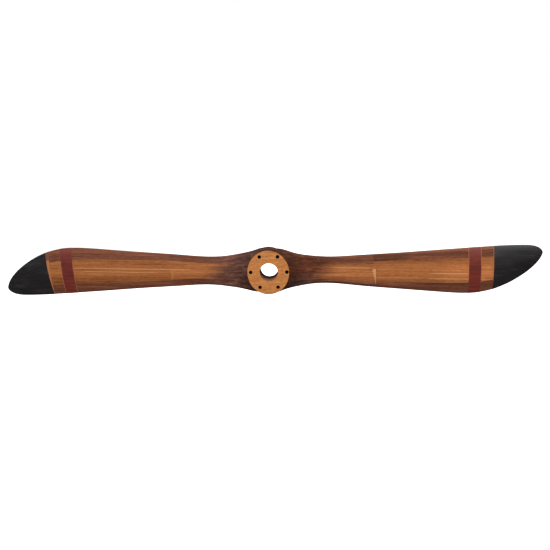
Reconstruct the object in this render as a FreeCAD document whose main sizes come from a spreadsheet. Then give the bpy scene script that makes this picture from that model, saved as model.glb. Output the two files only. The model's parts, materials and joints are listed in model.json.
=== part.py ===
import FreeCAD, Part
import math
import os

# Laminated two-blade wooden airscrew, millimetres.
# X runs along the blades, Y along the shaft (the front face looks to -Y), Z is up.
# The origin is the centre of the shaft bore, half way through the boss.
# The +X blade has its leading edge on the -Z side; the -X blade is the same blade
# turned half a turn about the shaft.

DIMENSIONS = {
    "tip_to_tip": 1850.0,
    "board_thickness": 4.75,
    "board_count": 13,
    "board_width": 260.0,
    "boss_width": 143.0,
    "boss_height": 155.0,
    "boss_centre_x": -2.0,
    "boss_centre_z": -2.0,
    "bore_diameter": 62.0,
    "bolt_circle_diameter": 124.0,
    "bolt_hole_diameter": 12.0,
    "back_board_reach": 313.0,
    "end_joint_right": 358.0,
    "end_joint_left": -341.0,
    "tip_coat_start": 761.0,
    "band_inner_radius": 678.0,
    "band_outer_radius": 721.0,
}
BOARDS = [
    "boss_front_board", "dark_board_front", "face_board", "dark_board_face_edge",
    "brown_board_edge", "dark_board_leading_edge", "light_board_middle", "dark_board_back",
    "light_board_back", "dark_board_shank", "light_board_rear", "dark_board_rear",
    "boss_rear_board",
]
# These run out past the end joints into both blades.
BLADE_BOARDS = BOARDS[2:7]
# This board would run out to a feather edge; it stops where the feather is a quarter millimetre.
BOARD_LENGTHS = {"dark_board_back": "2 * Dimensions.back_board_reach"}
BOLT_HOLE_COUNT = 6
# The holes were marked out by hand: the circle is turned a little from the line of the blades.
BOLT_CIRCLE_TURN = -2.5
COAT_THICKNESS = 0.5

# Blade offsets by radius: leading-edge and trailing-edge distance from the blade axis,
# crest of the front face, depth of the back, height of the leading and trailing edge,
# and how far the crest lies from mid-chord towards the leading edge.
# Heights are measured forward from the middle of the boss.
STATIONS = [
    # radius, leading, trailing, crest, back, leading height, trailing height, crest shift
    (0.0, 76.0, 76.0, 24.5, -24.5, 3.0, 3.0, 0.0),
    (45.0, 74.5, 74.5, 27.0, -27.0, 3.0, 8.0, 0.0),
    (77.0, 67.0, 64.5, 28.5, -27.5, 0.0, 13.5, 0.0),
    (100.0, 63.5, 57.0, 24.8, -23.0, -1.0, 15.5, 1.5),
    (130.0, 59.5, 50.5, 22.5, -18.0, -1.8, 15.0, 4.0),
    (200.0, 58.5, 40.5, 20.2, -10.6, -1.8, 10.5, 8.0),
    (300.0, 71.0, 39.0, 20.9, -3.2, 2.0, 9.2, 9.0),
    (450.0, 90.5, 40.3, 21.0, 0.0, 5.6, 9.2, 2.0),
    (600.0, 110.0, 43.5, 20.2, 0.2, 5.8, 9.2, 0.0),
    (700.0, 116.7, 45.2, 19.7, 0.4, 5.8, 8.8, 0.0),
    (760.0, 107.8, 46.0, 19.8, 1.0, 6.2, 8.4, 0.0),
    (820.0, 84.7, 45.5, 19.2, 2.0, 6.6, 8.4, 0.0),
    (865.0, 58.2, 43.8, 17.5, 3.2, 6.6, 8.4, 0.0),
    (895.0, 34.3, 39.6, 15.5, 4.2, 6.6, 8.4, 0.0),
    (912.0, 15.8, 32.6, 13.2, 5.0, 6.6, 8.4, 0.0),
    (921.0, 2.0, 25.2, 11.2, 5.6, 6.6, 8.4, 0.0),
    (925.0, -9.5, 18.0, 9.5, 6.0, 6.6, 8.4, 0.0),
]
RADIUS, LEADING, TRAILING, CREST, BACK, LEADING_HEIGHT, TRAILING_HEIGHT, CREST_SHIFT = range(8)
SPANS_ACROSS = 12
ROUNDNESS_AT_BOSS = 1.0
ROUNDNESS_OUTBOARD = 0.2
ROUNDNESS_SETTLED_RADIUS = 300.0

doc = FreeCAD.newDocument("airscrew")


def make_dimension_sheet():
    sheet = doc.addObject("Spreadsheet::Sheet", "Dimensions")
    for row, (name, value) in enumerate(DIMENSIONS.items(), start=1):
        sheet.set("A%d" % row, name)
        sheet.set("B%d" % row, str(value))
        sheet.setAlias("B%d" % row, name)
    return sheet


def roundness(radius):
    """Share of ellipse in the section curve: all ellipse at the boss, mostly parabola outboard."""
    share = min(radius / ROUNDNESS_SETTLED_RADIUS, 1.0)
    return ROUNDNESS_AT_BOSS + (ROUNDNESS_OUTBOARD - ROUNDNESS_AT_BOSS) * share


def section_curve(station, middle_height, coat):
    """One side of a section, from the leading edge over the middle to the trailing edge."""
    leading = station[LEADING] + coat
    trailing = station[TRAILING] + coat
    half_chord = (leading + trailing) / 2
    chord_centre = (trailing - leading) / 2
    round_share = roundness(station[RADIUS])
    points = []
    angles = [math.pi * step / SPANS_ACROSS for step in range(SPANS_ACROSS + 1)]
    for angle in angles:
        edge = station[TRAILING_HEIGHT] if angle > math.pi / 2 else station[LEADING_HEIGHT]
        bulge = round_share * math.sin(angle) + (1 - round_share) * math.sin(angle) ** 2
        height = edge + (middle_height - edge) * bulge
        height += math.copysign(coat, middle_height - edge) * math.sin(angle)
        across = chord_centre - half_chord * math.cos(angle) - station[CREST_SHIFT] * math.sin(angle) ** 2
        points.append(FreeCAD.Vector(station[RADIUS], -height, across))
    rise_leading = (middle_height - station[LEADING_HEIGHT]) * round_share
    rise_trailing = (middle_height - station[TRAILING_HEIGHT]) * round_share
    curve = Part.BSplineCurve()
    curve.interpolate(
        Points=points,
        Parameters=angles,
        InitialTangent=FreeCAD.Vector(0, -rise_leading, 0),
        FinalTangent=FreeCAD.Vector(0, rise_trailing, 0),
        Scale=False,
    )
    return curve.toShape()


def make_section(name, station, coat=0.0):
    """Closed section of the +X blade, standing across the blade at its radius."""
    front = section_curve(station, station[CREST], coat)
    back = section_curve(station, station[BACK], coat)
    section = doc.addObject("Part::Feature", name)
    section.Shape = Part.Wire([front, back])
    return section


def make_blade(name, stations, coat=0.0):
    """The +X blade lofted through its sections, and the -X blade half a turn away."""
    right = doc.addObject("Part::Loft", name + "_right")
    right.Sections = [
        make_section("%s_section_%02d" % (name, index), station, coat)
        for index, station in enumerate(stations)
    ]
    right.Solid = True
    right.Ruled = False
    across = doc.addObject("Part::Mirroring", name + "_across")
    across.Source = right
    across.Normal = FreeCAD.Vector(1, 0, 0)
    left = doc.addObject("Part::Mirroring", name + "_left")
    left.Source = across
    left.Normal = FreeCAD.Vector(0, 0, 1)
    return right, left


def make_shaft_cylinder(name, diameter_name):
    """A cylinder along the shaft axis, as long as the boss is thick."""
    cylinder = doc.addObject("Part::Cylinder", name)
    along_shaft = FreeCAD.Rotation(FreeCAD.Vector(1, 0, 0), -90)
    cylinder.Placement = FreeCAD.Placement(FreeCAD.Vector(0, 0, 0), along_shaft)
    cylinder.setExpression("Radius", "Dimensions.%s / 2" % diameter_name)
    cylinder.setExpression("Height", "Dimensions.board_count * Dimensions.board_thickness")
    cylinder.setExpression("Placement.Base.y", "-Dimensions.board_count * Dimensions.board_thickness / 2")
    return cylinder


def make_boss():
    """The boss before drilling: an upright oval, cut by eye, so a little off the centre of the bore."""
    outline = doc.addObject("Part::Ellipse", "boss_outline")
    upright_facing_rear = FreeCAD.Rotation(FreeCAD.Vector(1, 1, 1), -120)
    outline.Placement = FreeCAD.Placement(FreeCAD.Vector(0, 0, 0), upright_facing_rear)
    outline.setExpression("MajorRadius", "Dimensions.boss_height / 2")
    outline.setExpression("MinorRadius", "Dimensions.boss_width / 2")
    outline.setExpression("Placement.Base.x", "Dimensions.boss_centre_x")
    outline.setExpression("Placement.Base.y", "-Dimensions.board_count * Dimensions.board_thickness / 2")
    outline.setExpression("Placement.Base.z", "Dimensions.boss_centre_z")
    boss = doc.addObject("Part::Extrusion", "boss")
    boss.Base = outline
    boss.Dir = FreeCAD.Vector(0, 1, 0)
    boss.setExpression("LengthFwd", "Dimensions.board_count * Dimensions.board_thickness")
    boss.Solid = True
    return boss


def make_drill():
    """The shaft bore and the six bolt holes as one cutting tool."""
    tools = [make_shaft_cylinder("bore_tool", "bore_diameter")]
    for index in range(BOLT_HOLE_COUNT):
        angle = index * 360 / BOLT_HOLE_COUNT + BOLT_CIRCLE_TURN
        hole = make_shaft_cylinder("bolt_tool_%d" % index, "bolt_hole_diameter")
        reach = "Dimensions.bolt_circle_diameter / 2 * %s(%g deg)"
        hole.setExpression("Placement.Base.x", reach % ("cos", angle))
        hole.setExpression("Placement.Base.z", reach % ("sin", angle))
        tools.append(hole)
    drill = doc.addObject("Part::Compound", "drill")
    drill.Links = tools
    return drill


def make_board_blank(index, length):
    """One sawn board, before carving; board 0 is the front one."""
    blank = doc.addObject("Part::Box", "blank_%02d" % index)
    blank.setExpression("Length", length)
    blank.setExpression("Width", "Dimensions.board_thickness")
    blank.setExpression("Height", "Dimensions.board_width")
    blank.setExpression("Placement.Base.x", "-(%s) / 2" % length)
    blank.setExpression(
        "Placement.Base.y", "(%d - Dimensions.board_count / 2) * Dimensions.board_thickness" % index)
    blank.setExpression("Placement.Base.z", "-Dimensions.board_width / 2")
    return blank


def carve_board(name, index, carved_form, drill):
    """The part of the carved form that lies in one board, drilled."""
    length = BOARD_LENGTHS.get(name, "Dimensions.tip_to_tip + Dimensions.board_width")
    common = doc.addObject("Part::MultiCommon", name + "_carved")
    common.Shapes = [make_board_blank(index, length), carved_form]
    board = doc.addObject("Part::Cut", name)
    board.Base = common
    board.Tool = drill
    board.Label = name
    return board


def make_span_box(name, from_x, to_x):
    """A box round the whole airscrew between two X values."""
    box = doc.addObject("Part::Box", name)
    box.setExpression("Length", "(%s) - (%s)" % (to_x, from_x))
    box.setExpression("Width", "Dimensions.board_width")
    box.setExpression("Height", "Dimensions.board_width")
    box.setExpression("Placement.Base.x", from_x)
    box.setExpression("Placement.Base.y", "-Dimensions.board_width / 2")
    box.setExpression("Placement.Base.z", "-Dimensions.board_width / 2")
    return box


def saw_into_lengths(board):
    """A board that runs out into the blades is three lengths, end to end."""
    spans = {
        "left": ("-Dimensions.tip_to_tip", "Dimensions.end_joint_left"),
        "centre": ("Dimensions.end_joint_left", "Dimensions.end_joint_right"),
        "right": ("Dimensions.end_joint_right", "Dimensions.tip_to_tip"),
    }
    lengths = []
    for side, (from_x, to_x) in spans.items():
        name = "%s_%s" % (board.Label, side)
        length = doc.addObject("Part::Common", name)
        length.Base = board
        length.Tool = make_span_box(name + "_span", from_x, to_x)
        length.Label = name
        lengths.append(length)
    return lengths


def make_coat(name, coated_blade, carved_blade, from_x, to_x):
    """A coat of paint: a thin shell over the wood between two X values."""
    painted = doc.addObject("Part::Common", name + "_painted")
    painted.Base = coated_blade
    painted.Tool = make_span_box(name + "_span", from_x, to_x)
    coat = doc.addObject("Part::Cut", name)
    coat.Base = painted
    coat.Tool = carved_blade
    coat.Label = name
    return coat


def make_coats(right_blade, left_blade):
    """Black tips and red bands on both blades."""
    coated_stations = []
    for station in STATIONS:
        grown = list(station)
        if station[RADIUS] == STATIONS[-1][RADIUS]:
            grown[RADIUS] += COAT_THICKNESS
        coated_stations.append(tuple(grown))
    coated_right, coated_left = make_blade("coated_blade", coated_stations, COAT_THICKNESS)
    beyond_tip = "Dimensions.tip_to_tip"
    coats = []
    for name, inner, outer in (
        ("black_tip", "Dimensions.tip_coat_start", beyond_tip),
        ("red_band", "Dimensions.band_inner_radius", "Dimensions.band_outer_radius"),
    ):
        coats.append(make_coat(name + "_right", coated_right, right_blade, inner, outer))
        coats.append(make_coat(name + "_left", coated_left, left_blade, "-" + outer, "-" + inner))
    return coats


def build_parts():
    make_dimension_sheet()
    right_blade, left_blade = make_blade("blade", STATIONS)
    boss = make_boss()
    carved_form = doc.addObject("Part::MultiFuse", "carved_form")
    carved_form.Shapes = [right_blade, left_blade, boss]
    drill = make_drill()
    parts = []
    for index, name in enumerate(BOARDS):
        board = carve_board(name, index, carved_form, drill)
        parts += saw_into_lengths(board) if name in BLADE_BOARDS else [board]
    return parts + make_coats(right_blade, left_blade)


def check_and_write(parts):
    doc.recompute()
    for item in doc.Objects:
        for state in item.State:
            if state in ("Invalid", "Error"):
                raise RuntimeError("%s is %s" % (item.Name, state))
    os.makedirs("parts", exist_ok=True)
    for part in parts:
        shape = part.Shape
        if shape.isNull() or not shape.isValid() or shape.Volume <= 0:
            raise RuntimeError("%s has no valid solid" % part.Label)
        shape.exportStep("parts/%s.step" % part.Label)
        box = shape.BoundBox
        print("%-26s solids %d volume %9.1f cm3  x %7.1f %7.1f  y %6.2f %6.2f  z %6.1f %6.1f" % (
            part.Label, len(shape.Solids), shape.Volume / 1000,
            box.XMin, box.XMax, box.YMin, box.YMax, box.ZMin, box.ZMax))


check_and_write(build_parts())
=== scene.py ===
import json
import math

import bpy
from mathutils import Matrix, Vector


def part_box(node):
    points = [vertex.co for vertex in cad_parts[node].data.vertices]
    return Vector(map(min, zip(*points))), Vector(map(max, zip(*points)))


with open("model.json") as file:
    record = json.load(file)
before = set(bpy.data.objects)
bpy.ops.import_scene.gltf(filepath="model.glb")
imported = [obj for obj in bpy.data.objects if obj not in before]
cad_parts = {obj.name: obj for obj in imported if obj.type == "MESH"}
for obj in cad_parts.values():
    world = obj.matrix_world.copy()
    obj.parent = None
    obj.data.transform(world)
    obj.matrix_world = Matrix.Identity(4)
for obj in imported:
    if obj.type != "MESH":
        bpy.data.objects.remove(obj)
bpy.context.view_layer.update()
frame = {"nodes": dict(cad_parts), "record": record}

# Laminated two-blade wooden airscrew, metres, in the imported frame: X along the blades, Y along
# the shaft with the front face looking to -Y, Z up. The boards, the coats of paint and every
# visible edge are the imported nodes; this script gives them their finishes, the light and the view.

NODES = frame["nodes"]
SLOT_OF = {part["node"]: part["material_slot"] for part in frame["record"]["subparts"]}
MOUNTS = {mount["name"]: mount["dims"] for mount in frame["record"]["mounts"]}

BORE_RADIUS = MOUNTS["shaft_bore"]["r_mm"] / 1000
BOLT_CIRCLE_RADIUS = MOUNTS["boss_bolts"]["pcd_mm"] / 2000
BOLT_HOLE_RADIUS = MOUNTS["boss_bolts"]["hole_r_mm"] / 1000
BOLT_HOLE_COUNT = MOUNTS["boss_bolts"]["count"]
BOLT_CIRCLE_TURN = math.radians(-2.5)
BOSS_HALF_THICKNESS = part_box("boss_rear_board")[1].y
JOINT_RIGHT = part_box("face_board_centre")[1].x
JOINT_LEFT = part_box("face_board_centre")[0].x
TIP_COAT_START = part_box("black_tip_right")[0].x
BAND_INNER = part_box("red_band_right")[0].x
BAND_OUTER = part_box("red_band_right")[1].x

# Finishes, linear colours from their darkest streak to their palest.
WOODS = {
    "light_wood": [
        (0.150, 0.043, 0.013), (0.285, 0.094, 0.030), (0.350, 0.123, 0.040), (0.470, 0.186, 0.068),
    ],
    "brown_wood": [
        (0.075, 0.025, 0.013), (0.130, 0.044, 0.023), (0.165, 0.057, 0.030), (0.230, 0.084, 0.046),
    ],
    "dark_wood": [
        (0.052, 0.017, 0.009), (0.096, 0.032, 0.017), (0.127, 0.043, 0.023), (0.200, 0.073, 0.040),
    ],
    "bare_wood": [
        (0.200, 0.068, 0.019), (0.350, 0.130, 0.038), (0.440, 0.175, 0.053), (0.560, 0.250, 0.088),
    ],
}
# The stain's grey is partly a painted sheen.
GREY_STAIN_AND_SHEEN = [
    (0.030, 0.012, 0.009), (0.066, 0.026, 0.018), (0.100, 0.042, 0.030), (0.185, 0.088, 0.064),
]
RED_STAIN = [
    (0.028, 0.009, 0.006), (0.066, 0.020, 0.010), (0.100, 0.030, 0.015), (0.185, 0.062, 0.030),
]
BLACK_PAINT = [
    (0.004, 0.003, 0.003), (0.007, 0.0055, 0.006), (0.011, 0.009, 0.0095), (0.034, 0.030, 0.031),
]
RED_PAINT = [
    (0.085, 0.010, 0.006), (0.118, 0.014, 0.008), (0.140, 0.018, 0.010), (0.180, 0.032, 0.022),
]
# The wall of the bore, from its front to its rear, where painted shade turns it black.
BORE_WALL_INTO_SHADE = [(0.230, 0.092, 0.043), (0.105, 0.042, 0.023), (0.012, 0.006, 0.005)]
# Painted shade: the black inside the bolt holes.
BOLT_HOLE_SHADE = (0.004, 0.003, 0.002)
GLUE_LINE = (0.040, 0.016, 0.010)
PALE_MARK = (0.56, 0.27, 0.115)
# The wood that shows past the edge of a coat of paint: on the face, and beside the leading edge.
WOOD_BESIDE_PAINT = (0.33, 0.115, 0.040)
LEADING_WOOD_BESIDE_PAINT = (0.135, 0.047, 0.026)

# Each length of board came from its own plank: how dark or pale it is against its slot.
PLANK_TONE = {
    "face_board_left": 0.92,
    "face_board_right": 0.98,
    "dark_board_face_edge_left": 1.10,
    "brown_board_edge_centre": 0.88,
}
# Where a board shows along both edges of a blade: its tone along the lower edge, then from one x
# to another its tone along the upper edge at each.
EDGE_TONE = {
    "dark_board_face_edge_right": (1.00, 0.42, 0.50, 0.68, 1.00),
    "brown_board_edge_left": (0.85, -0.44, -0.36, 1.12, 0.87),
    "brown_board_edge_centre": (1.00, -0.16, -0.10, 0.78, 1.00),
    "brown_board_edge_right": (0.85, 0.46, 0.56, 0.80, 1.35),
}

# The outer planks are set along the sweep of the blades, so their grain leaves the X axis.
GRAIN_SWEEP = 0.066
SWEEP_START = 0.15
RING_SPACING = 0.0046

# The stain round the boss is full up to one distance along the blade and gone at the next.
STAIN_FULL = 0.138
STAIN_GONE = 0.246
STAIN_RAGGEDNESS = 0.10

# The sanded wedge at each end joint of the face: the x of its outer side, the heights of its top
# and its bottom, its width, and how strongly it shows.
JOINT_MARKS = (
    (JOINT_RIGHT + 0.008, 0.004, -0.047, 0.014, 0.62),
    (JOINT_LEFT + 0.002, 0.000, -0.026, 0.012, 0.15),
)
# Pale streaks along the face: height, half width, where along the blade each starts and ends, and
# the side of the shaft it is on.
PALE_STREAKS = (
    (0.012, 0.0016, 0.24, 0.70, -1.0),
    (0.001, 0.0012, 0.36, 0.62, -1.0),
    (-0.010, 0.0022, 0.53, 0.69, 1.0),
    (-0.029, 0.0020, 0.53, 0.70, 1.0),
    (0.006, 0.0014, 0.19, 0.33, 1.0),
)
# Each side's paint: its name, the seed of its brush marks, the slant of the edge of the tip coat,
# and how pale its black is, the paler black on the right being a painted sheen.
COATS = (
    ("left", 3.0, 0.075, 1.0),
    ("right", 8.0, 0.0, 1.25),
)

# The photographer's place: in front, a little right of the boss and above it, looking down.
CAMERA_PLACE = (0.132, -2.0914, 0.5562)
CAMERA_LENS = 40.95
CAMERA_SENSOR = 36.0
CAMERA_TURN = math.radians(3.09)
CAMERA_DOWN = math.radians(15.37)
CAMERA_ROLL = math.radians(-3.72)

# Area lights: name, place, target, size, watts, and whether they show as a reflection.
LIGHTS = (
    ("key", (0.5, -2.1, 2.0), (0.1, 0.0, 0.0), (3.2, 1.4), 122.0, True),
    ("fill", (-0.6, -2.6, -0.2), (0.0, 0.0, 0.0), (2.0, 1.6), 13.0, False),
    ("back", (-0.4, 2.6, 1.2), (0.0, 0.0, 0.0), (2.6, 1.6), 60.0, False),
)
WHITE = (1.0, 1.0, 1.0)
BLACK = (0.0, 0.0, 0.0)
BACKDROP = 1.0
LIGHT_ALL_ROUND = 0.28
LIGHT_AS_REFLECTED = 0.10
FLOOR_LEVEL = -0.60
FLOOR_HALF = 12.0


class Graph:
    """The shader nodes of one material, built by plain calls that return sockets."""

    def __init__(self, name):
        self.material = bpy.data.materials.new(name)
        self.material.use_nodes = True
        self.tree = self.material.node_tree
        self.tree.nodes.clear()
        output = self.node("ShaderNodeOutputMaterial")
        self.shader = self.node("ShaderNodeBsdfPrincipled")
        self.feed(output.inputs["Surface"], self.shader.outputs["BSDF"])
        self.x, self.y, self.z = self.split(self.node("ShaderNodeTexCoord").outputs["Object"])
        self.height = self.z

    def node(self, kind, **settings):
        made = self.tree.nodes.new(kind)
        for key, value in settings.items():
            setattr(made, key, value)
        return made

    def feed(self, socket, source):
        """A socket takes a link from another socket, or a plain value."""
        if isinstance(source, bpy.types.NodeSocket):
            self.tree.links.new(source, socket)
        elif socket.type == "RGBA":
            socket.default_value = (*source, 1.0)
        else:
            socket.default_value = source

    def math(self, operation, *inputs):
        made = self.node("ShaderNodeMath", operation=operation)
        for socket, source in zip(made.inputs, inputs):
            self.feed(socket, source)
        return made.outputs[0]

    def add(self, a, b):
        return self.math("ADD", a, b)

    def minus(self, a, b):
        return self.math("SUBTRACT", a, b)

    def times(self, a, b):
        return self.math("MULTIPLY", a, b)

    def absolute(self, a):
        return self.math("ABSOLUTE", a)

    def distance(self, a, b):
        """The length of a line that reaches a one way and b square to it."""
        return self.math("SQRT", self.add(self.math("POWER", a, 2.0), self.math("POWER", b, 2.0)))

    def fade(self, value, start, end, at_start=0.0, at_end=1.0):
        """Smooth change from one value to another while the input goes from start to end."""
        made = self.node("ShaderNodeMapRange", interpolation_type="SMOOTHSTEP")
        for key, source in (("Value", value), ("From Min", start), ("From Max", end),
                            ("To Min", at_start), ("To Max", at_end)):
            self.feed(made.inputs[key], source)
        return made.outputs["Result"]

    def fade_out(self, value, start, end):
        """1 up to the start, then a smooth change to 0 at the end."""
        return self.fade(value, start, end, 1.0, 0.0)

    def vector(self, x, y, z):
        made = self.node("ShaderNodeCombineXYZ")
        for socket, source in zip(made.inputs, (x, y, z)):
            self.feed(socket, source)
        return made.outputs[0]

    def split(self, vector):
        made = self.node("ShaderNodeSeparateXYZ")
        self.feed(made.inputs[0], vector)
        return made.outputs

    def noise(self, vector, detail=4.0, roughness=0.55):
        made = self.node("ShaderNodeTexNoise")
        for key, source in (("Vector", vector), ("Scale", 1.0), ("Detail", detail),
                            ("Roughness", roughness)):
            self.feed(made.inputs[key], source)
        return made.outputs["Fac"]

    def along_grain(self, per_metre_along, per_metre_across, shift):
        """A place for noise whose marks are long with the grain and narrow across it."""
        return self.vector(
            self.add(self.times(self.x, per_metre_along), shift),
            self.times(self.y, per_metre_across),
            self.add(self.times(self.height, per_metre_across), shift))

    def mix(self, share, a, b):
        made = self.node("ShaderNodeMix", data_type="RGBA")
        for socket, source in ((made.inputs[0], share), (made.inputs[6], a), (made.inputs[7], b)):
            self.feed(socket, source)
        return made.outputs[2]

    def shade(self, colour, factor):
        """The colour made darker or paler by a factor."""
        made = self.node("ShaderNodeHueSaturation")
        self.feed(made.inputs["Color"], colour)
        self.feed(made.inputs["Value"], factor)
        return made.outputs["Color"]

    def ramp(self, value, colours):
        """Colours spread evenly over the input from 0 to 1."""
        made = self.node("ShaderNodeValToRGB")
        self.feed(made.inputs[0], value)
        stops = made.color_ramp.elements
        while len(stops) < len(colours):
            stops.new(0.5)
        for index, colour in enumerate(colours):
            stops[index].position = index / (len(colours) - 1)
            stops[index].color = (*colour, 1.0)
        return made.outputs["Color"]

    def bump(self, height, strength, distance):
        made = self.node("ShaderNodeBump")
        for key, source in (("Height", height), ("Strength", strength), ("Distance", distance)):
            self.feed(made.inputs[key], source)
        return made.outputs["Normal"]

    def finish(self, **inputs):
        for key, source in inputs.items():
            self.feed(self.shader.inputs[key.replace("_", " ")], source)
        return self.material


def toned(colours, factor):
    return [tuple(factor * channel for channel in colour) for colour in colours]


def swept_height(g):
    """Height above the swept middle line of the blades; the grain runs where it is constant."""
    outboard = g.math("MAXIMUM", g.minus(g.absolute(g.x), SWEEP_START), 0.0)
    return g.add(g.z, g.times(g.times(outboard, g.math("SIGN", g.x)), GRAIN_SWEEP))


def towards_leading_edge(g):
    """Distance from the swept middle line, positive on the leading side of either blade."""
    return g.times(g.height, g.times(g.math("SIGN", g.x), -1.0))


def distance_from_shaft(g):
    return g.distance(g.x, g.z)


def growth_rings(g, seed):
    """Waves, -1 to 1, round a heart that lies behind the board."""
    heart_depth = 0.055 + 0.02 * math.sin(seed)
    heart_height = 0.09 * math.sin(2.3 * seed + 1.0)
    from_heart = g.distance(g.add(g.y, heart_depth), g.add(g.height, heart_height))
    wander = g.times(g.noise(g.along_grain(1.6, 3.0, seed)), 0.010)
    return g.math("SINE", g.times(g.add(from_heart, wander), 2 * math.pi / RING_SPACING))


def wood_figure(g, seed):
    """The figure of one board, 0 dark to 1 pale, and its streaks, fine grain and pores."""
    bands = g.noise(g.along_grain(0.8, 34.0, seed + 3.1), detail=3.0)
    streaks = g.noise(g.along_grain(1.9, 130.0, seed + 7.7), detail=7.0, roughness=0.78)
    fine = g.noise(g.along_grain(8.0, 1000.0, seed + 13.9), detail=5.0, roughness=0.6)
    pores = g.fade(g.noise(g.along_grain(28.0, 2600.0, seed + 21.0), detail=2.0), 0.60, 0.70)
    flecks = g.noise(g.along_grain(62.0, 250.0, seed + 33.0), detail=2.0)
    figure = g.add(g.times(bands, 0.22), g.times(streaks, 1.10))
    figure = g.add(figure, g.times(g.minus(flecks, 0.35), 0.34))
    figure = g.add(figure, g.times(fine, 0.40))
    figure = g.add(figure, g.times(growth_rings(g, seed), 0.025))
    figure = g.add(figure, g.times(pores, -0.12))
    return g.fade(figure, 0.62, 1.18), streaks, fine, pores


def boss_stain(g, seed):
    """1 where the dark stain round the boss is: ragged, and furthest out on the trailing side."""
    reach = g.add(g.absolute(g.x), g.times(towards_leading_edge(g), 0.7))
    further_on_right = g.fade(g.x, 0.0, 0.2, 0.0, -0.008)
    ragged = g.minus(g.noise(g.along_grain(3.0, 75.0, seed + 41.0), detail=5.0), 0.5)
    reach = g.add(g.add(reach, further_on_right), g.times(ragged, STAIN_RAGGEDNESS))
    return g.fade_out(reach, STAIN_FULL, STAIN_GONE)


def stain_colour(g, figure):
    """Greyish on the left and below, reddish at the upper right, and darkest against the boss.

    The grey is partly a painted sheen. The darkest stain against the boss is painted shade. Paler
    towards the upper left is a painted sheen, and darker towards the lower right is painted shade.
    """
    red = g.times(g.fade(g.x, -0.05, 0.08), g.fade(g.z, -0.030, -0.014))
    colour = g.mix(red, g.ramp(figure, GREY_STAIN_AND_SHEEN), g.ramp(figure, RED_STAIN))
    # Painted shade: darker close to the boss and on its sides.
    colour = g.shade(colour, g.fade(distance_from_shaft(g), 0.080, 0.140, 0.60, 1.12))
    # Painted sheen and shade: paler towards the upper left, darker towards the lower right.
    lower_right = g.add(g.x, g.times(g.z, -2.0))
    return g.shade(colour, g.fade(lower_right, -0.15, 0.15, 1.08, 0.92))


def flat_boss_face(g):
    """1 on the two flat faces of the boss."""
    normal = g.split(g.node("ShaderNodeNewGeometry").outputs["True Normal"])
    facing = g.fade(g.absolute(normal[1]), 0.88, 0.92)
    at_face = g.fade(g.absolute(g.y), BOSS_HALF_THICKNESS - 0.0004, BOSS_HALF_THICKNESS - 0.0002)
    return g.times(facing, at_face)


def bare_wood_colour(g, figure):
    """Sanded end of the boss, with a mottle finer than the figure of the board."""
    place = g.vector(g.times(g.x, 90.0), g.times(g.y, 90.0), g.times(g.z, 240.0))
    mottle = g.fade(g.noise(place, detail=5.0), 0.3, 0.7)
    return g.ramp(g.add(g.times(figure, 0.55), g.times(mottle, 0.42)), WOODS["bare_wood"])


def bolt_holes(g):
    """1 inside the bolt holes."""
    step = 2 * math.pi / BOLT_HOLE_COUNT
    angle = g.minus(g.math("ARCTAN2", g.z, g.x), BOLT_CIRCLE_TURN)
    from_nearest_hole = g.math("WRAP", angle, step / 2, -step / 2)
    radius = distance_from_shaft(g)
    across = g.times(radius, g.math("SINE", from_nearest_hole))
    outward = g.minus(g.times(radius, g.math("COSINE", from_nearest_hole)), BOLT_CIRCLE_RADIUS)
    return g.fade_out(g.distance(across, outward), BOLT_HOLE_RADIUS, BOLT_HOLE_RADIUS + 0.0006)


def bored_walls(g, colour):
    """The bore is brown in front and goes into painted shade towards the rear; the bolt holes are
    painted black as shade.
    """
    bore = g.fade_out(distance_from_shaft(g), BORE_RADIUS + 0.0001, BORE_RADIUS + 0.0009)
    depth = g.fade(g.y, -BOSS_HALF_THICKNESS, 0.5 * BOSS_HALF_THICKNESS)
    colour = g.mix(bore, colour, g.ramp(depth, BORE_WALL_INTO_SHADE))
    # Painted shade: the bolt holes are coloured black.
    return g.mix(bolt_holes(g), colour, BOLT_HOLE_SHADE)


def end_joint_marks(g, colour, on_face, seed):
    """At each end joint the face is sanded pale in a wedge, with a dark line at its outer side."""
    ragged = g.times(g.minus(g.noise(g.along_grain(25.0, 140.0, seed)), 0.5), 0.004)
    for outer_side, top, bottom, width, strength in JOINT_MARKS:
        inward = g.times(g.minus(g.x, outer_side), -math.copysign(1.0, outer_side))
        if on_face:
            taper = g.fade(g.height, bottom, top, 0.30 * width, width)
            beside = g.fade_out(g.add(inward, ragged), g.times(taper, 0.75), taper)
            beside = g.times(beside, g.fade(inward, -0.0006, 0.0006))
            below_top = g.fade(g.height, top + 0.001, top - 0.002)
            tall = g.times(below_top, g.fade(g.height, bottom - 0.006, bottom))
            colour = g.mix(g.times(g.times(beside, tall), strength), colour, PALE_MARK)
        line = g.fade_out(g.absolute(g.add(inward, 0.0016)), 0.0006, 0.0022)
        below_top = g.fade(g.height, top + 0.006, top - 0.004)
        tall = g.times(below_top, g.fade(g.height, bottom - 0.02, bottom))
        colour = g.mix(g.times(g.times(line, tall), 0.8 * strength), colour, GLUE_LINE)
    return colour


def pale_streaks(g, colour, seed):
    """Single long pale streaks along the face, broken up along their length."""
    broken = g.fade(g.noise(g.along_grain(7.0, 200.0, seed + 17.0)), 0.35, 0.55, 0.35, 1.0)
    for middle, half_width, start, end, side in PALE_STREAKS:
        off_middle = g.absolute(g.minus(g.height, middle))
        streak = g.fade_out(off_middle, 0.3 * half_width, 1.6 * half_width)
        reach = g.times(g.x, side)
        span = g.times(g.fade(reach, start, start + 0.05), g.fade_out(reach, end, end + 0.04))
        colour = g.mix(g.times(g.times(streak, span), g.times(broken, 0.55)), colour, PALE_MARK)
    return colour


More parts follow.
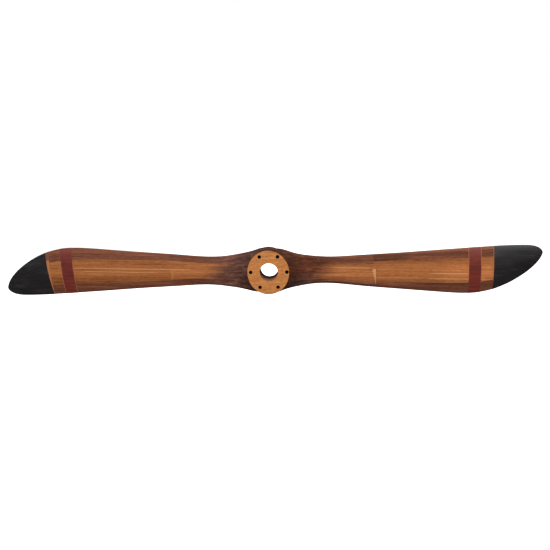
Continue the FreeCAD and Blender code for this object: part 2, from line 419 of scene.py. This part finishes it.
def face_shading(g, colour, node, seed):
    """The face board is palest along a line, which runs low on the right blade inboard, and darker
    towards its sides.

    The right blade is paler again towards its tip.
    """
    lowered = g.times(g.fade(g.x, 0.05, 0.15), g.fade(g.x, 0.36, 0.55, 0.012, 0.0))
    palest_line = g.add(lowered, 0.003)
    off_line = g.absolute(g.minus(towards_leading_edge(g), palest_line))
    line_tone = g.fade(g.x, -0.2, 0.2, 0.95, 1.0)
    side_tone = g.fade(g.x, -0.2, 0.2, 0.76, 0.62)
    colour = g.shade(colour, g.fade(off_line, 0.010, 0.046, line_tone, side_tone))
    if node.endswith("centre"):
        colour = g.shade(colour, g.fade(g.x, 0.10, 0.22, 1.0, 0.93))
    if node.endswith("right"):
        ragged = g.times(g.noise(g.along_grain(3.0, 90.0, seed + 2.0)), 0.05)
        colour = g.shade(colour, g.fade(g.add(g.x, ragged), 0.59, 0.66, 1.0, 1.22))
    return pale_streaks(g, colour, seed)


def lower_edge_shading(g, colour):
    """The dark board is paler along the lower edge of the right blade, most of all inboard."""
    along_lower_edge = g.times(g.fade(g.x, 0.15, 0.22), g.fade(g.height, 0.0, -0.03))
    gain = g.fade(g.x, 0.38, 0.56, 1.0, -0.05)
    return g.shade(colour, g.add(g.times(along_lower_edge, gain), 1.0))


def dark_leading_side(g, colour):
    """The light board of the backs is darkened where it comes out beside the leading edge."""
    share = g.fade(towards_leading_edge(g), 0.036, 0.050, 0.0, 0.8)
    return g.mix(share, colour, WOODS["dark_wood"][2])


def edge_shading(g, colour, node):
    """One tone along the lower edge of the blade, and one that changes along X on the upper edge."""
    below, start, end, above_at_start, above_at_end = EDGE_TONE[node]
    above = g.fade(g.x, start, end, above_at_start, above_at_end)
    return g.shade(colour, g.fade(g.height, -0.02, 0.02, below, above))


def board_colour(g, node, figure, seed):
    """The varnished board, before its joints and the stain round the boss."""
    slot = "light_wood" if SLOT_OF[node] == "bare_wood" else SLOT_OF[node]
    colour = g.ramp(figure, toned(WOODS[slot], PLANK_TONE.get(node, 1.0)))
    if node.startswith("face_board"):
        colour = face_shading(g, colour, node, seed)
    if node.startswith("dark_board_face_edge"):
        colour = lower_edge_shading(g, colour)
    if node.startswith("light_board_middle"):
        colour = dark_leading_side(g, colour)
    if node in EDGE_TONE:
        colour = edge_shading(g, colour, node)
    return colour


def wood(node, seed):
    """One length of board: its figure, the joints, the stain, and the bare and bored boss."""
    g = Graph("wood_" + node)
    g.height = swept_height(g)
    figure, streaks, fine, pores = wood_figure(g, seed)
    colour = board_colour(g, node, figure, seed)
    on_face = node.startswith(("face_board", "dark_board_face_edge"))
    colour = end_joint_marks(g, colour, on_face, seed)
    colour = g.mix(boss_stain(g, seed), colour, stain_colour(g, figure))
    roughness = g.fade(streaks, 0.3, 0.7, 0.54, 0.68)
    if SLOT_OF[node] == "bare_wood":
        bare = flat_boss_face(g)
        colour = g.mix(bare, colour, bare_wood_colour(g, figure))
        roughness = g.add(roughness, g.times(bare, 0.12))
    low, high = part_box(node)
    if low.x < 0.0 < high.x:
        colour = bored_walls(g, colour)
    grain_height = g.add(g.times(fine, 0.5), g.times(pores, -0.8))
    return g.finish(
        Base_Color=colour,
        Roughness=roughness,
        Normal=g.bump(grain_height, strength=0.22, distance=0.0006),
        Specular_IOR_Level=0.06,
    )


def paint(name, colours, seed, edges, roughness):
    """Brushed paint: streaks along the blade, and hand-cut edges that let the wood show.

    Each edge is its distance from the shaft, the way the paint lies from it, and its slant.
    """
    g = Graph(name)
    g.height = swept_height(g)
    brush = g.noise(g.along_grain(5.0, 420.0, seed), detail=6.0, roughness=0.65)
    cloud = g.noise(g.along_grain(9.0, 30.0, seed + 5.0))
    marks = g.add(g.times(brush, 0.65), g.times(cloud, 0.35))
    colour = g.ramp(g.fade(marks, 0.34, 0.68), colours)
    leading = g.fade(towards_leading_edge(g), 0.034, 0.040)
    wood_shown = g.mix(leading, WOOD_BESIDE_PAINT, LEADING_WOOD_BESIDE_PAINT)
    ragged = g.times(g.noise(g.along_grain(60.0, 190.0, seed + 9.0), detail=3.0), 0.0024)
    for edge, outward, slant in edges:
        line = g.add(g.times(g.add(g.z, 0.045), slant), edge)
        inside = g.times(g.minus(g.absolute(g.x), line), outward)
        bare = g.fade_out(g.minus(inside, ragged), -0.0002, 0.0005)
        colour = g.mix(bare, colour, wood_shown)
    return g.finish(
        Base_Color=colour,
        Roughness=g.fade(brush, 0.3, 0.7, roughness - 0.06, roughness + 0.08),
        Normal=g.bump(g.add(brush, g.times(cloud, 0.4)), strength=0.25, distance=0.0005),
        Specular_IOR_Level=0.5,
    )


def dress(node, material):
    materials = NODES[node].data.materials
    materials.clear()
    materials.append(material)


def dress_boards():
    """The right-hand lengths have a figure of their own; the others run on from the boss."""
    seeds = {}
    for node in sorted(NODES):
        if SLOT_OF[node] in WOODS:
            board = node.removesuffix("_left").removesuffix("_centre")
            seed = seeds.setdefault(board, 1.7 * len(seeds) + 0.4)
            dress(node, wood(node, seed))


def dress_coats():
    """The same paints on both blades, each with brush marks and cut edges of its own."""
    for side, seed, slant, tone in COATS:
        # Painted sheen: the right tip's black is made paler.
        black = toned(BLACK_PAINT, tone)
        tip_edges = [(TIP_COAT_START, 1.0, slant)]
        band_edges = [(BAND_INNER, 1.0, 0.0), (BAND_OUTER, -1.0, 0.0)]
        dress("black_tip_" + side, paint("black_paint_" + side, black, seed, tip_edges, 0.46))
        dress("red_band_" + side, paint("red_paint_" + side, RED_PAINT, seed, band_edges, 0.42))


def make_camera():
    data = bpy.data.cameras.new("camera")
    data.lens = CAMERA_LENS
    data.sensor_width = CAMERA_SENSOR
    camera = bpy.data.objects.new("camera", data)
    bpy.context.scene.collection.objects.link(camera)
    turn = Matrix.Rotation(CAMERA_TURN, 4, "Z")
    tilt = Matrix.Rotation(math.pi / 2 - CAMERA_DOWN, 4, "X")
    roll = Matrix.Rotation(CAMERA_ROLL, 4, "Z")
    camera.matrix_world = Matrix.Translation(CAMERA_PLACE) @ turn @ tilt @ roll
    bpy.context.scene.camera = camera


def make_area_light(name, place, target, size, watts, reflected):
    data = bpy.data.lights.new(name, "AREA")
    data.shape = "RECTANGLE"
    data.size, data.size_y = size
    data.energy = watts
    light = bpy.data.objects.new(name, data)
    bpy.context.scene.collection.objects.link(light)
    light.location = place
    light.rotation_euler = (Vector(target) - Vector(place)).to_track_quat("-Z", "Y").to_euler()
    light.visible_glossy = reflected


def background(tree, strength):
    made = tree.nodes.new("ShaderNodeBackground")
    made.inputs["Color"].default_value = (*WHITE, 1.0)
    made.inputs["Strength"].default_value = strength
    return made


def make_world():
    """White behind the object, and a weak even light all round that hardly shows as a reflection."""
    world = bpy.data.worlds.new("studio")
    bpy.context.scene.world = world
    world.use_nodes = True
    tree = world.node_tree
    tree.nodes.clear()
    output = tree.nodes.new("ShaderNodeOutputWorld")
    path = tree.nodes.new("ShaderNodeLightPath")
    shader = background(tree, LIGHT_ALL_ROUND)
    for ray, strength in (("Is Glossy Ray", LIGHT_AS_REFLECTED), ("Is Camera Ray", BACKDROP)):
        mix = tree.nodes.new("ShaderNodeMixShader")
        tree.links.new(path.outputs[ray], mix.inputs[0])
        tree.links.new(shader.outputs[0], mix.inputs[1])
        tree.links.new(background(tree, strength).outputs[0], mix.inputs[2])
        shader = mix
    tree.links.new(shader.outputs[0], output.inputs["Surface"])


def make_floor():
    """A plain pale floor, well below the airscrew."""
    mesh = bpy.data.meshes.new("floor")
    corners = [
        (x * FLOOR_HALF, y * FLOOR_HALF, FLOOR_LEVEL)
        for x, y in ((-1, -1), (1, -1), (1, 1), (-1, 1))
    ]
    mesh.from_pydata(corners, [], [(0, 1, 2, 3)])
    floor = bpy.data.objects.new("floor", mesh)
    bpy.context.scene.collection.objects.link(floor)
    g = Graph("floor")
    pale = g.fade(g.noise(g.vector(g.x, g.y, 0.0)), 0.3, 0.7, 0.82, 0.86)
    mesh.materials.append(g.finish(
        Base_Color=g.mix(pale, BLACK, WHITE),
        Roughness=0.8,
        Emission_Color=WHITE,
        Emission_Strength=0.8,
    ))
    floor.visible_diffuse = False
    floor.visible_glossy = False


dress_boards()
dress_coats()
make_camera()
for light in LIGHTS:
    make_area_light(*light)
make_world()
make_floor()
bpy.context.scene.view_settings.view_transform = "Standard"
